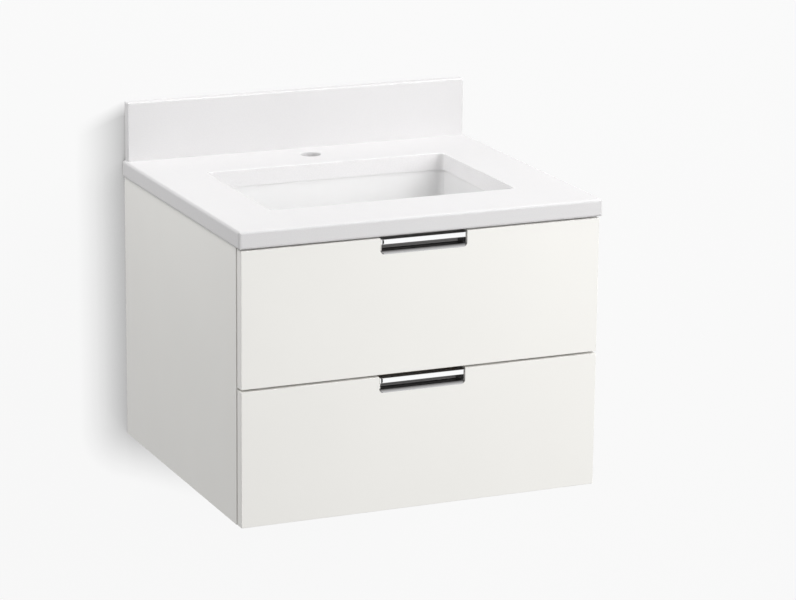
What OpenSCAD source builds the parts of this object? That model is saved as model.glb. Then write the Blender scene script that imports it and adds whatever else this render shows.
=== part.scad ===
// Wall-hung vanity: a two-drawer cabinet, a stone top with a backsplash and an undermount sink.
// Lengths are in millimetres: +X to the right, +Y into the wall, +Z up.
// The origin is on the wall, midway between the two upper wall-fixing holes.
// Heights below are measured from the cabinet's underside, and on_cabinet() brings them to the origin.

/* [Cabinet] */
// Width over the two side panels
cabinet_w = 627; // [600:1:680]
// Height of the cabinet without its top
cabinet_h = 458; // [450:1:500]
// Wall to the front edges of the side panels
carcass_d = 533; // [528:1:560]
// Thickness of the cabinet boards
board_t = 18; // [16:0.5:19]
// Height of the hanging rail behind the sink
hanging_rail_h = 116; // [100:1:130]
// Height of the back rail above the bottom panel
lower_rail_h = 100; // [80:1:110]
// Depth of the rail across the top of the opening
front_rail_d = 56; // [50:1:58]

/* [Wall fixing] */
// Distance between the two holes of a rail
fixing_spacing = 406.4; // [300:0.1:420]
// Diameter of the wall-fixing holes
fixing_hole_d = 8; // [6:0.5:10]
// Cabinet top down to the upper holes
upper_fixing_drop = 58; // [50:1:66]
// Bottom panel up to the lower holes
lower_fixing_rise = 50; // [40:1:60]

/* [Vanity top] */
// Thickness of the top
top_t = 29; // [25:0.5:32]
// Overhang of the top past each side panel
top_side_overhang = 4; // [0:0.5:10]
// Overhang of the top past the drawer fronts
top_front_overhang = 3; // [0:0.5:10]
// Rounding of the outer edges of the top
top_edge_r = 4.5; // [1:0.5:6]
// Width of the sink cut-out
cutout_w = 433; // [400:1:440]
// Depth of the sink cut-out, front to back
cutout_d = 293; // [260:1:296]
// Wall to the back edge of the cut-out
cutout_back = 141; // [139:1:150]
// Corner radius of the cut-out
cutout_r = 13; // [8:1:17]
// Rounding of the upper edges of the cut-out and of the faucet hole
cutout_edge_r = 1.5; // [1:0.5:3]
// Diameter of the faucet hole
faucet_hole_d = 35; // [32:0.5:38]
// Wall to the centre of the faucet hole
faucet_hole_back = 70.5; // [60:0.5:75]

/* [Backsplash] */
// Height of the backsplash
splash_h = 101.6; // [75:0.1:150]
// Thickness of the backsplash
splash_t = 17; // [12:0.5:22]
// Set-back of each end of the backsplash from the end of the top
splash_inset = 5; // [0:0.5:12]
// Rounding of the backsplash edges
splash_edge_r = 2.5; // [1:0.5:5]

/* [Sink] */
// How far the sink wall stands back under the edge of the cut-out
sink_setback = 2; // [1:0.5:5]
// Thickness of the sink walls
sink_wall = 10; // [8:0.5:11]
// Width of the mounting flange outside the sink opening
sink_flange_w = 30; // [24:1:31]
// Thickness of the mounting flange
sink_flange_t = 16; // [12:0.5:18]
// Depth of the bowl at the foot of its walls
bowl_depth = 120; // [100:1:122]
// Lean of the bowl walls, in degrees
bowl_draft = 3.5; // [2:0.5:5]
// Rounding between the walls and the floor of the bowl
bowl_floor_r = 28; // [20:1:32]
// Corner radius of the bowl opening
bowl_corner_r = 10; // [8:1:26]
// Fall of the bowl floor to the drain
bowl_fall = 6; // [3:0.5:7]
// Thickness of the sink floor at the drain
sink_floor_t = 9; // [8:0.5:10]
// Diameter of the drain bore
drain_d = 44.5; // [40:0.5:46]
// Diameter of the recess that the drain flange sits in
drain_seat_d = 66; // [60:0.5:68]
// Depth of the recess that the drain flange sits in
drain_seat_t = 3; // [2:0.5:4]
// Diameter of the overflow inlet in the front wall of the bowl
overflow_d = 22; // [16:0.5:24]
// Thickness of the seal between the sink and the top
seal_t = 1.5; // [1:0.1:2.5]

/* [Drawer fronts] */
// Thickness of the drawer fronts
front_t = 18; // [16:0.5:20]
// Gap between the upper front and the top
top_gap = 2.5; // [2:0.5:4]
// Gap between the two fronts
front_gap = 3.5; // [2:0.5:4]
// Set-back of each end of a front from the outer face of the side panel
front_reveal = 0.5; // [0.5:0.5:3]
// Gap between the fronts and the edges of the side panels
front_seat_gap = 3; // [2:0.1:3.5]
// Rounding of the front's edges
front_edge_r = 1; // [0.5:0.5:2]

/* [Pulls] */
// Width of the notch that the pull sits in
pull_w = 152; // [120:1:180]
// Height of the notch that the pull sits in
pull_h = 27; // [26:0.5:29]
// Radius of the notch's lower corners
pull_corner_r = 7; // [4:0.5:8]
// Top of the pull below the top edge of the front
pull_drop = 2.5; // [1:0.5:3]
// Height of the grip bar
grip_h = 9; // [7:0.5:10]
// Thickness of the grip bar
grip_t = 4.5; // [3.5:0.5:5.5]
// Wall of the pull
pull_wall = 1.6; // [1.2:0.1:2]
// Height of the sill in front of the finger recess
sill_h = 6; // [5.5:0.5:7]
// Rounding of the sill's front edge
sill_r = 5; // [3:0.5:5]
// Rounding between the floor and the back of the finger recess
recess_r = 2; // [1:0.5:3]
// How much narrower each end of the finger recess is at its back
pull_end_slope = 8; // [4:0.5:10]
// Height of the fixing flange below the notch, on the back of the front
pull_flange_h = 12; // [10:0.5:13]

/* [Drawer boxes] */
// Length of the drawer boxes
box_len = 450; // [440:1:452]
// Thickness of the sides, inner front and back of the boxes
box_t = 16; // [15:0.5:17]
// Gap between a box and the side panel
box_side_gap = 5; // [4.5:0.1:6]
// Height of the sides of the upper box
upper_box_h = 120; // [100:1:130]
// Height of the sides of the lower box
lower_box_h = 150; // [120:1:155]
// Height of the upper box above the lower edge of its front
upper_box_lift = 12; // [11:0.5:13]
// Height of the lower box above the cabinet's underside
lower_box_lift = 30; // [28:0.5:32]
// Thickness of the box floors
floor_t = 12; // [10:0.5:12]
// Underside of a box floor above the lower edge of its sides
floor_recess = 13; // [12.5:0.5:14]
// Depth of the grooves that hold the box floors
floor_groove = 6; // [4:0.5:8]
// Height of the upper box's back above its floor
upper_back_rise = 40; // [34:1:41]
// Clear width of the trap notch in the upper box
trap_w = 160; // [120:1:180]
// Centre of the drain to the front of the trap notch
trap_ahead = 60; // [50:1:70]
// Height of the trap surround above the box floor
trap_rise = 28; // [20:1:30]
// Wall of the trap surround
trap_wall = 3; // [2:0.5:4]

/* [Runners] */
// Length of the runners' cabinet members
runner_len = 440; // [435:1:442]
// Diameter of the runners' balls
ball_d = 4; // [3.5:0.1:4.2]
// Distance between the two rows of balls, side to side
ball_span = 12; // [11:0.5:12.5]
// Thickness of the runners' steel sheet
sheet_t = 1.2; // [1:0.1:1.4]
// Distance between the upper and the lower rows of balls
row_span = 8; // [7.8:0.1:8.4]
// Balls along one side of a cage
cage_balls = 5; // [3:1:6]
// Distance between neighbouring balls of a cage
ball_pitch = 24; // [16:1:26]
// Height of the flange that is screwed to the side panel
runner_flange_h = 30; // [24:1:34]

/* [Screws] */
// Diameter of the screws' shanks
screw_d = 4; // [3.5:0.1:4.5]
// Diameter of the screws' heads
screw_head_d = 7.6; // [7:0.1:8]
// Thickness of the screws' heads
screw_head_t = 2; // [1.5:0.1:2.2]

/* [Hidden] */

$fn = 48;

LEFT = -1;
RIGHT = 1;
DOWN = -1;
UP = 1;

// Clearances, and how far a cut runs past the face that it opens
fit = 0.1;          // wood and plastic pieces in their seats
screw_fit = 0.05;   // round a screw's shank
seat_fit = 0.3;     // between pieces that stay apart
past = 1;

// Colours
lacquer = [0.93, 0.93, 0.92];
board_grey = [0.80, 0.79, 0.77];
stone_white = [0.90, 0.90, 0.91];
glaze = [0.96, 0.97, 0.97];
rubber_clear = [0.85, 0.87, 0.87];
chrome = [0.78, 0.79, 0.81];
zinc = [0.66, 0.67, 0.69];
steel = [0.58, 0.59, 0.61];
birch = [0.86, 0.78, 0.64];
moulded_grey = [0.55, 0.56, 0.57];

// Cabinet
upper_fixing_z = cabinet_h - upper_fixing_drop;
lower_fixing_z = board_t + lower_fixing_rise;
inner_x = cabinet_w / 2 - board_t;
hanging_rail_z = cabinet_h - hanging_rail_h;
front_rail_y = -carcass_d + front_rail_d;

// Drawer fronts
front_back_y = -(carcass_d + front_seat_gap);
front_face_y = front_back_y - front_t;
front_w = cabinet_w - 2 * front_reveal;
front_h = (cabinet_h - top_gap - front_gap) / 2;
lower_front_z = 0;
upper_front_z = lower_front_z + front_h + front_gap;

// Pulls
pull_flange_t = 2;
pull_nose_r = 6;
pull_top_r = 1;
pull_top = pull_h - pull_drop;

// Top and backsplash
top_w = cabinet_w + 2 * top_side_overhang;
top_d = -front_face_y + top_front_overhang;
top_z = cabinet_h + top_t;
splash_w = top_w - 2 * splash_inset;

// Sink: its frame has the centre of the bowl at x = y = 0 and the top of its flange at z = 0
sink_y = -(cutout_back + cutout_d / 2);
sink_z = cabinet_h - seal_t;
bowl_w = cutout_w + 2 * sink_setback;
bowl_d = cutout_d + 2 * sink_setback;
sink_flange_r = bowl_corner_r + 10;
drain_depth = bowl_depth + bowl_fall;
drain_seat_depth = drain_depth + drain_seat_t;
sink_depth = drain_seat_depth + sink_floor_t;
bowl_steps = 5;
slice_t = 0.1;
overflow_drop = 32;
duct_w = 36;
duct_wall = 4;
duct_passage = 10;
duct_t = duct_passage + duct_wall;
duct_bevel = 30;
drain_boss_depth = sink_depth + duct_t;

// Sink clips
clip_ys = [-200, -360];
clip_w = 22;
clip_t = 3;
clip_reach = 10;
clip_stud_gap = 8;
clip_stud_d = 6;
clip_stud_in = 12;
clip_nut_d = 11.5;
clip_nut_t = 5;
clip_stud_x = bowl_w / 2 + sink_flange_w + clip_stud_gap;

// Drawer boxes
box_x = inner_x - box_side_gap;
box_inner_x = box_x - box_t;
box_front_y = front_back_y;
box_back_y = box_front_y + box_len;
inner_front_y = box_front_y + box_t;
upper_box_z = upper_front_z + upper_box_lift;
lower_box_z = lower_box_lift;
trap_front_y = sink_y - trap_ahead;
trap_corner_r = 20;
trap_lip_w = 8;
trap_lip_t = 2;
trap_outer_x = trap_w / 2 + trap_wall;

// Runner profile: its frame has the middle of the slide's section at the origin
ball_u = ball_span / 2;
row_w = row_span / 2;
groove_r = ball_d / 2 + fit;
race_gap = 0.8;
race_u = ball_u + race_gap;
slide_u = ball_u - race_gap;
runner_u = ball_u + groove_r + sheet_t;
cage_t = 0.8;
cage_play = 0.3;
leg_tip_w = 0.7;
slide_w = row_w + groove_r + 0.8;
plate_w = slide_w + cage_t + 2 * cage_play;
runner_w = plate_w + sheet_t;
runner_flange_t = 1.5;
runner_side_play = 1.2;
runner_x = box_inner_x - runner_side_play - runner_u;
rail_back_y = -78;
slide_inset = 4;
carriage_inset = 2;
cage_len = (cage_balls - 1) * ball_pitch + 3 * ball_d;
cage_mid_y = -290;
stop_t = 1.5;
rail_hole_inset = 40;
rail_hole_pitch = (runner_len - 2 * rail_hole_inset) / 3;
rail_hole_ys = [for (k = [0:3]) rail_back_y - rail_hole_inset - k * rail_hole_pitch];
rail_hole_w = 12;
hook_w = 8;
hook_pin_d = 5;
hook_pin_len = 8;
hook_pin_rise = 6;
hook_top = 6;

// Clips under the front of each box
clip_pivot_in = 22.5;
clip_pivot_back = 42;
clip_pivot_x = runner_x - clip_pivot_in;
clip_pivot_y = inner_front_y + clip_pivot_back;
clip_pin_d = 5;
clip_pin_head_d = 8;
clip_plate_t = 3;
lever_t = 5;
lever_arm_w = 10;
lever_hook_back = 14;
lever_hook_y = inner_front_y + lever_hook_back;
lever_hook_w = 5;
lever_hook_bite = 1.8;
lever_pad_x = 17;
lever_pad_t = 5;
lever_play = 0.3;
clip_window_h = 6;
clip_window_play = 2;
clip_housing_x = 30;
clip_screw_inset = 6;
clip_screw_span = 16;

// Screws
runner_screw_len = 14;
front_screw_bite = 12;
front_screw_len = box_t + front_screw_bite;
pull_screw_len = 12;
clip_screw_bite = 8;
clip_screw_len = clip_plate_t + clip_screw_bite;
bracket_screw_len = 14;
front_screw_in = 40;
front_screw_x = box_inner_x - front_screw_in;
front_screw_inset = 24;
pull_screw_in = 16;
pull_screw_x = pull_w / 2 - pull_screw_in;

// Cam fittings: each place is [y, z, turn] of the middle of the board's end, and the cam opens to
// the side that the turn about X brings +Z to
cam_r = 7.5;
cam_t = 12.5;
cam_in = 34;
cam_bolt_r = 3;
cam_bolt_bore_r = 4;
cam_bolt_head_r = 3.5;
cam_bolt_head_t = 3;
cam_thread_r = 2.5;
cam_thread_len = 11;
cam_edge = 25;
cam_slot_w = 1.6;
cam_slot_t = 2;
bottom_cam_in = 80;
bottom_cams = [for (y = [-bottom_cam_in, bottom_cam_in - carcass_d]) [y, board_t / 2, 0]];
hanging_rail_cams = [for (z = [hanging_rail_z + cam_edge, cabinet_h - cam_edge]) [-board_t / 2, z, 90]];
lower_rail_cams = [for (z = [board_t + cam_edge, board_t + lower_rail_h - cam_edge]) [-board_t / 2, z, 90]];
front_rail_cams = [[front_rail_y - front_rail_d / 2, cabinet_h - board_t / 2, 180]];
all_cams = concat(bottom_cams, hanging_rail_cams, lower_rail_cams, front_rail_cams);

// Brackets under the top, and bumpers
bracket_ys = [-60, -420];
bracket_l = 28;
bracket_w = 30;
bracket_t = 2;
bracket_hole = 18;
bumper_d = 8;
bumper_t = front_seat_gap - fit;
bumper_rise = 24;

// ---------------------------------------------------------------- helpers

module on_cabinet() {
    translate([0, 0, -upper_fixing_z]) children();
}

// The children are drawn on the right-hand side; side = LEFT mirrors them
module handed(side) {
    if (side == LEFT) mirror([1, 0, 0]) children();
    else children();
}

module both_sides() {
    children();
    mirror([1, 0, 0]) children();
}

// A centred rectangle with round corners
module round_rect(w, h, r) {
    square([w - 2 * r, h], center = true);
    square([w, h - 2 * r], center = true);
    for (sx = [-1, 1], sy = [-1, 1])
        translate([sx * (w / 2 - r), sy * (h / 2 - r)]) circle(r = r);
}

// A box from the corner low to the corner high
module block(low, high) {
    translate(low) cube(high - low);
}

// The same box with all its edges rounded
module soft_block(low, high, r) {
    size = high - low;
    translate((low + high) / 2) intersection() {
        linear_extrude(size.z, center = true) round_rect(size.x, size.y, r);
        rotate([90, 0, 0]) linear_extrude(size.y, center = true) round_rect(size.x, size.z, r);
        rotate([90, 0, 90]) linear_extrude(size.x, center = true) round_rect(size.y, size.z, r);
    }
}

// A screw along +Z whose head rests on z = 0, under a shank of the given length
module screw(len) {
    translate([0, 0, -screw_head_t]) cylinder(d = screw_head_d, h = screw_head_t);
    cylinder(d = screw_d, h = len);
}

// The hole for that screw
module screw_hole(len) {
    translate([0, 0, -past]) cylinder(r = screw_d / 2 + screw_fit, h = len + past + fit);
}

// Turns +Z to +X or to -Y
module to_x() { rotate([0, 90, 0]) children(); }
module to_front() { rotate([90, 0, 0]) children(); }

// ---------------------------------------------------------------- cam fittings

// The children are drawn at the board's end: +X into the side panel, +Z out of the cam's face
module at_cams(cams) {
    for (c = cams) translate([inner_x, c[0], c[1]]) rotate([c[2], 0, 0]) children();
}

module cam_cuts_in_board(cams) {
    both_sides() at_cams(cams) {
        translate([-cam_in, 0, board_t / 2 - cam_t]) cylinder(r = cam_r + fit, h = cam_t + past);
        translate([-cam_in, 0, 0]) to_x() cylinder(r = cam_bolt_bore_r, h = cam_in + past);
    }
}

module cam_cuts_in_side() {
    at_cams(all_cams) translate([-past, 0, 0]) to_x()
        cylinder(r = cam_thread_r + screw_fit, h = past + cam_thread_len + fit);
}

module cam() {
    translate([-cam_in, 0, board_t / 2 - cam_t]) difference() {
        cylinder(r = cam_r, h = cam_t - fit);
        translate([-cam_bolt_head_t, 0, cam_t - board_t / 2]) to_x()
            cylinder(r = cam_bolt_bore_r, h = cam_r + cam_bolt_head_t + past);
        translate([0, 0, cam_t - cam_slot_t]) {
            block([-cam_r + 2, -cam_slot_w / 2, 0], [cam_r - 2, cam_slot_w / 2, cam_slot_t]);
            block([-cam_slot_w / 2, -cam_r + 2, 0], [cam_slot_w / 2, cam_r - 2, cam_slot_t]);
        }
    }
}

module cam_bolt() {
    translate([-cam_in, 0, 0]) to_x() {
        translate([0, 0, -cam_bolt_head_t / 2]) cylinder(r = cam_bolt_head_r, h = cam_bolt_head_t);
        cylinder(r = cam_bolt_r, h = cam_in);
        cylinder(r = cam_thread_r, h = cam_in + cam_thread_len);
    }
}

module cam_fittings() {
    color(zinc) on_cabinet() both_sides() at_cams(all_cams) {
        cam();
        cam_bolt();
    }
}

// ---------------------------------------------------------------- carcass

module side_panel(side) {
    color(lacquer) on_cabinet() handed(side) difference() {
        block([inner_x, -carcass_d, 0], [inner_x + board_t, 0, cabinet_h]);
        cam_cuts_in_side();
        for (box_z = [upper_box_z, lower_box_z]) at_runner_screws(box_z) screw_hole(runner_screw_len);
        at_bracket_screws_in_side() screw_hole(bracket_screw_len);
    }
}

module bottom_panel() {
    color(lacquer) on_cabinet() difference() {
        block([-inner_x, -carcass_d, 0], [inner_x, 0, board_t]);
        cam_cuts_in_board(bottom_cams);
    }
}

module wall_fixing_holes(z) {
    for (x = [-1, 1] * fixing_spacing / 2)
        translate([x, past, z]) to_front() cylinder(d = fixing_hole_d, h = board_t + 2 * past);
}

module hanging_rail() {
    color(board_grey) on_cabinet() difference() {
        block([-inner_x, -board_t, hanging_rail_z], [inner_x, 0, cabinet_h]);
        wall_fixing_holes(upper_fixing_z);
        cam_cuts_in_board(hanging_rail_cams);
    }
}

module lower_back_rail() {
    color(board_grey) on_cabinet() difference() {
        block([-inner_x, -board_t, board_t], [inner_x, 0, board_t + lower_rail_h]);
        wall_fixing_holes(lower_fixing_z);
        cam_cuts_in_board(lower_rail_cams);
    }
}

module front_top_rail() {
    color(lacquer) on_cabinet() difference() {
        block([-inner_x, -carcass_d, cabinet_h - board_t], [inner_x, front_rail_y, cabinet_h]);
        cam_cuts_in_board(front_rail_cams);
    }
}

module front_bumpers() {
    x = inner_x + board_t / 2;
    color(rubber_clear) on_cabinet() both_sides()
        for (front_z = [lower_front_z, upper_front_z], z = [bumper_rise, front_h - bumper_rise])
            translate([x, -carcass_d, front_z + z]) to_front() cylinder(d = bumper_d, h = bumper_t);
}

// ---------------------------------------------------------------- brackets and screws of the carcass

module bracket() {
    difference() {
        union() {
            block([-bracket_l, -bracket_w / 2, -bracket_t], [0, bracket_w / 2, 0]);
            block([-bracket_t, -bracket_w / 2, -bracket_l], [0, bracket_w / 2, 0]);
        }
        translate([-bracket_hole, 0, -bracket_t]) screw_hole(bracket_t + past);
        translate([-bracket_t, 0, -bracket_hole]) to_x() screw_hole(bracket_t + past);
    }
}

module at_brackets() {
    for (y = bracket_ys) translate([inner_x, y, cabinet_h]) children();
}

module top_brackets() {
    color(steel) on_cabinet() both_sides() at_brackets() bracket();
}

module at_bracket_screws_in_top() {
    at_brackets() translate([-bracket_hole, 0, -bracket_t]) children();
}

module at_bracket_screws_in_side() {
    at_brackets() translate([-bracket_t, 0, -bracket_hole]) to_x() children();
}

module carcass_screws() {
    color(steel) on_cabinet() both_sides() {
        at_bracket_screws_in_top() screw(bracket_screw_len);
        at_bracket_screws_in_side() screw(bracket_screw_len);
        for (box_z = [upper_box_z, lower_box_z]) at_runner_screws(box_z) screw(runner_screw_len);
    }
}

// ---------------------------------------------------------------- top and backsplash

// Section of what a rounded upper edge loses: the wall is at x = 0 under the edge at y = 0
module edge_cut(r) {
    difference() {
        translate([-past, -r]) square([r + past, r + past]);
        translate([r, -r]) circle(r = r);
    }
}

// Rounds the upper edge of a cut-out with round corners, centred on the origin
module cutout_edge(w, d, corner_r, r) {
    for (turn = [0, 90, 180, 270]) rotate(turn) {
        half_w = (turn % 180 == 0 ? w : d) / 2;
        half_d = (turn % 180 == 0 ? d : w) / 2;
        translate([half_w, half_d - corner_r, 0]) to_front()
            linear_extrude(2 * (half_d - corner_r)) edge_cut(r);
        translate([half_w - corner_r, half_d - corner_r, 0]) rotate_extrude(angle = 90)
            translate([corner_r, 0]) edge_cut(r);
    }
}

module vanity_top() {
    color(stone_white) on_cabinet() difference() {
        soft_block([-top_w / 2, -top_d, cabinet_h], [top_w / 2, 0, top_z], top_edge_r);
        translate([0, sink_y, cabinet_h - past])
            linear_extrude(top_t + 2 * past) round_rect(cutout_w, cutout_d, cutout_r);
        translate([0, sink_y, top_z]) cutout_edge(cutout_w, cutout_d, cutout_r, cutout_edge_r);
        translate([0, -faucet_hole_back, cabinet_h - past])
            cylinder(d = faucet_hole_d, h = top_t + 2 * past);
        translate([0, -faucet_hole_back, top_z]) rotate_extrude()
            translate([faucet_hole_d / 2, 0]) edge_cut(cutout_edge_r);
        both_sides() {
            at_bracket_screws_in_top() screw_hole(bracket_screw_len);
            at_sink_clips() cylinder(r = clip_stud_d / 2 + screw_fit, h = clip_stud_in + fit);
        }
    }
}

// Its foot stays square, so that it closes on the top
module backsplash() {
    color(stone_white) on_cabinet() intersection() {
        soft_block([-splash_w / 2, -splash_t, top_z - splash_h], [splash_w / 2, 0, top_z + splash_h],
                   splash_edge_r);
        block([-splash_w / 2, -splash_t, top_z], [splash_w / 2, 0, top_z + splash_h]);
    }
}

// ---------------------------------------------------------------- sink

// One level of the bowl: depth below the flange, and how far its walls have come in
module bowl_slice(depth, inset, wall) {
    translate([0, 0, -depth]) linear_extrude(slice_t)
        round_rect(bowl_w + 2 * (wall - inset), bowl_d + 2 * (wall - inset),
                   bowl_corner_r + wall + inset / 2, $fn = 32);
}

// The bowl's form at its inner face (wall = 0) or its outer face, down to a flat or falling floor
module bowl_form(wall, depth, floor_r, fall) {
    foot = depth - floor_r;
    hull() {
        bowl_slice(-past, 0, wall);
        for (k = [0:bowl_steps]) {
            a = 90 * k / bowl_steps;
            bowl_slice(foot + floor_r * sin(a), foot * tan(bowl_draft) + floor_r * (1 - cos(a)), wall);
        }
        translate([0, 0, -depth - fall]) cylinder(d = drain_seat_d + 2, h = slice_t, $fn = 32);
    }
}

// Side view of the overflow duct: [distance ahead of the drain, depth below the flange]
module duct_side(outer) {
    skin = outer ? 0 : duct_wall;
    ahead = bowl_d / 2 + sink_wall;
    lean = sink_depth * tan(bowl_draft);
    bend = bowl_floor_r + sink_wall;
    foot = ahead - lean;
    back = outer ? -sink_wall / 2 : past;
    polygon([
        [ahead + duct_t - skin, -sink_flange_t + past - skin],
        [foot + duct_t - skin, -sink_depth + duct_bevel + skin / 3],
        [foot + duct_t - duct_bevel - skin / 3, -drain_boss_depth + skin],
        [0, -drain_boss_depth + skin],
        [0, -sink_depth - back],
        [foot - bend, -sink_depth - back],
        [foot - bend / 4 + back / 2, -sink_depth + bend / 4 - back / 2],
        [foot + back, -sink_depth + bend],
        [ahead + back, -sink_flange_t + past - skin]
    ]);
}

module duct(outer) {
    w = outer ? duct_w : duct_w - 2 * duct_wall;
    rotate([90, 0, -90]) linear_extrude(w, center = true) duct_side(outer);
}

module undermount_sink() {
    color(glaze) on_cabinet() translate([0, sink_y, sink_z]) difference() {
        union() {
            translate([0, 0, -sink_flange_t]) linear_extrude(sink_flange_t)
                round_rect(bowl_w + 2 * sink_flange_w, bowl_d + 2 * sink_flange_w, sink_flange_r);
            intersection() {
                bowl_form(sink_wall, sink_depth, bowl_floor_r + sink_wall, 0);
                translate([-bowl_w, -bowl_d, -2 * sink_depth]) cube([2 * bowl_w, 2 * bowl_d, 2 * sink_depth]);
            }
            translate([0, 0, -drain_boss_depth]) cylinder(d = drain_seat_d, h = duct_t + past);
            duct(true);
        }
        bowl_form(0, bowl_depth, bowl_floor_r, bowl_fall);
        translate([0, 0, -drain_seat_depth]) cylinder(d = drain_seat_d, h = drain_seat_t + past);
        translate([0, 0, -drain_boss_depth - past]) cylinder(d = drain_d, h = drain_boss_depth);
        duct(false);
        translate([0, -bowl_d / 2 + 2 * sink_wall, -overflow_drop]) to_front()
            cylinder(d = overflow_d, h = 3 * sink_wall + past);
    }
}

module sink_seal() {
    color(rubber_clear) on_cabinet() translate([0, sink_y, sink_z]) linear_extrude(seal_t) difference() {
        round_rect(bowl_w + 2 * sink_flange_w, bowl_d + 2 * sink_flange_w, sink_flange_r);
        round_rect(bowl_w, bowl_d, bowl_corner_r);
    }
}

// The children are drawn at a clip's stud, under the top
module at_sink_clips() {
    for (y = clip_ys) translate([clip_stud_x, y, cabinet_h]) children();
}

module sink_clip() {
    drop = seal_t + sink_flange_t;
    difference() {
        union() {
            block([-clip_stud_gap - clip_reach, -clip_w / 2, -drop - clip_t], [clip_stud_gap, clip_w / 2, -drop]);
            block([clip_stud_gap - clip_t, -clip_w / 2, -drop], [clip_stud_gap, clip_w / 2, 0]);
        }
        translate([0, 0, -drop - clip_t - past]) cylinder(r = clip_stud_d / 2 + fit, h = clip_t + 2 * past);
    }
    translate([0, 0, -drop - clip_t - 2 * clip_nut_t]) {
        cylinder(d = clip_stud_d, h = drop + clip_t + 2 * clip_nut_t + clip_stud_in);
        translate([0, 0, clip_nut_t - fit]) cylinder(d = clip_nut_d, h = clip_nut_t, $fn = 6);
    }
}

module sink_clips() {
    color(steel) on_cabinet() both_sides() at_sink_clips() sink_clip();
}

// ---------------------------------------------------------------- drawer fronts and pulls

// Front view of the notch, from its lower edge at 0 up past the top of the front
module pull_outline(shrink, above) {
    w = pull_w - 2 * shrink;
    r = pull_corner_r - shrink;
    translate([-w / 2 + r, shrink]) square([w - 2 * r, pull_h - shrink + above]);
    translate([-w / 2, shrink + r]) square([w, pull_h - shrink - r + above]);
    for (x = [r - w / 2, w / 2 - r]) translate([x, shrink + r]) circle(r = r);
}

module drawer_front(front_z, box_z, box_h) {
    notch_z = front_z + front_h - pull_h;
    color(lacquer) on_cabinet() difference() {
        soft_block([-front_w / 2, front_face_y, front_z], [front_w / 2, front_back_y, front_z + front_h],
                   front_edge_r);
        translate([0, front_back_y + past, notch_z]) to_front()
            linear_extrude(front_t + 2 * past) pull_outline(0, past);
        block([-pull_w / 2, front_back_y - pull_flange_t - fit, notch_z - pull_flange_h],
              [pull_w / 2, front_back_y + past, notch_z + pull_h + past]);
        at_front_screws(box_z, box_h) screw_hole(front_screw_len);
        at_pull_screws(front_z) screw_hole(pull_screw_len);
    }
}

// The pull's frame has the lower edge of its notch at z = 0 and the face of the front at y = 0
module grip_section() {
    nose_z = pull_top - grip_h + grip_t / 2;
    translate([grip_t / 2, nose_z]) circle(d = grip_t);
    translate([-past, nose_z]) square([grip_t + past, pull_top - nose_z]);
}

// Side view of the space behind and under the bar: depth from the face, height in the notch
module recess_section(depth) {
    high = pull_top - pull_wall;
    translate([-past, sill_h + recess_r]) square([depth + past, high - sill_h - recess_r]);
    translate([-past, sill_h]) square([depth + past - recess_r, 2 * recess_r]);
    translate([depth - recess_r, sill_h + recess_r]) circle(r = recess_r);
    difference() {
        translate([-past, sill_h - sill_r]) square([sill_r + past, sill_r + fit]);
        translate([sill_r, sill_h - sill_r]) circle(r = sill_r);
    }
}

module pull_recess() {
    depth = front_t - pull_wall;
    back_x = pull_w / 2 - pull_wall - pull_end_slope;
    front_x = pull_w / 2 - pull_wall;
    intersection() {
        rotate([90, 0, 90]) linear_extrude(pull_w, center = true) difference() {
            recess_section(depth);
            grip_section();
        }
        linear_extrude(pull_h) polygon([
            [-front_x, -past], [front_x, -past], [front_x, 0],
            [back_x, depth], [-back_x, depth], [-front_x, 0]
        ]);
    }
}

module pull_body() {
    intersection() {
        translate([0, front_t, 0]) to_front() linear_extrude(front_t) pull_outline(fit, -pull_drop);
        translate([0, pull_w / 2, 0]) linear_extrude(pull_h)
            round_rect(pull_w - 2 * fit, pull_w, pull_nose_r);
        translate([0, pull_w / 2, 0]) rotate([90, 0, 90])
            linear_extrude(pull_w, center = true) round_rect(pull_w, 2 * pull_top, pull_top_r);
    }
}

module drawer_pull(front_z) {
    z = front_z + front_h - pull_h;
    color(chrome) on_cabinet() difference() {
        translate([0, front_face_y, z]) {
            difference() {
                pull_body();
                pull_recess();
            }
            block([-pull_w / 2 + fit, front_t - pull_flange_t, fit - pull_flange_h],
                  [pull_w / 2 - fit, front_t, pull_corner_r]);
        }
        at_pull_screws(front_z) screw_hole(pull_screw_len);
    }
}

module at_front_screws(box_z, box_h) {
    for (x = [-1, 1] * front_screw_x, z = [floor_recess + floor_t + front_screw_inset / 2, box_h - front_screw_inset])
        translate([x, inner_front_y, box_z + z]) to_front() children();
}

module at_pull_screws(front_z) {
    for (x = [-1, 1] * pull_screw_x)
        translate([x, front_back_y, front_z + front_h - pull_h - pull_flange_h / 2]) to_front() children();
}

// ---------------------------------------------------------------- drawer boxes

module box_side(side, box_z, box_h) {
    floor_z = box_z + floor_recess;
    color(birch) on_cabinet() handed(side) difference() {
        block([box_inner_x, box_front_y, box_z], [box_x, box_back_y, box_z + box_h]);
        block([box_inner_x - past, inner_front_y - floor_groove - fit, floor_z - fit],
              [box_inner_x + floor_groove + fit, box_back_y + past, floor_z + floor_t + fit]);
    }
}

module inner_front(box_z, box_h) {
    floor_z = box_z + floor_recess;
    color(birch) on_cabinet() difference() {
        block([-box_inner_x, box_front_y, box_z], [box_inner_x, inner_front_y, box_z + box_h]);
        block([-box_inner_x - past, inner_front_y - floor_groove - fit, floor_z - fit],
              [box_inner_x + past, inner_front_y + past, floor_z + floor_t + fit]);
        at_front_screws(box_z, box_h) screw_hole(front_screw_len);
    }
}

module box_floor_block(box_z) {
    floor_z = box_z + floor_recess;
    difference() {
        block([-box_inner_x - floor_groove, inner_front_y - floor_groove, floor_z],
              [box_inner_x + floor_groove, box_back_y, floor_z + floor_t]);
        both_sides() at_clip_screws(box_z) screw_hole(clip_screw_len);
    }
}

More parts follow.
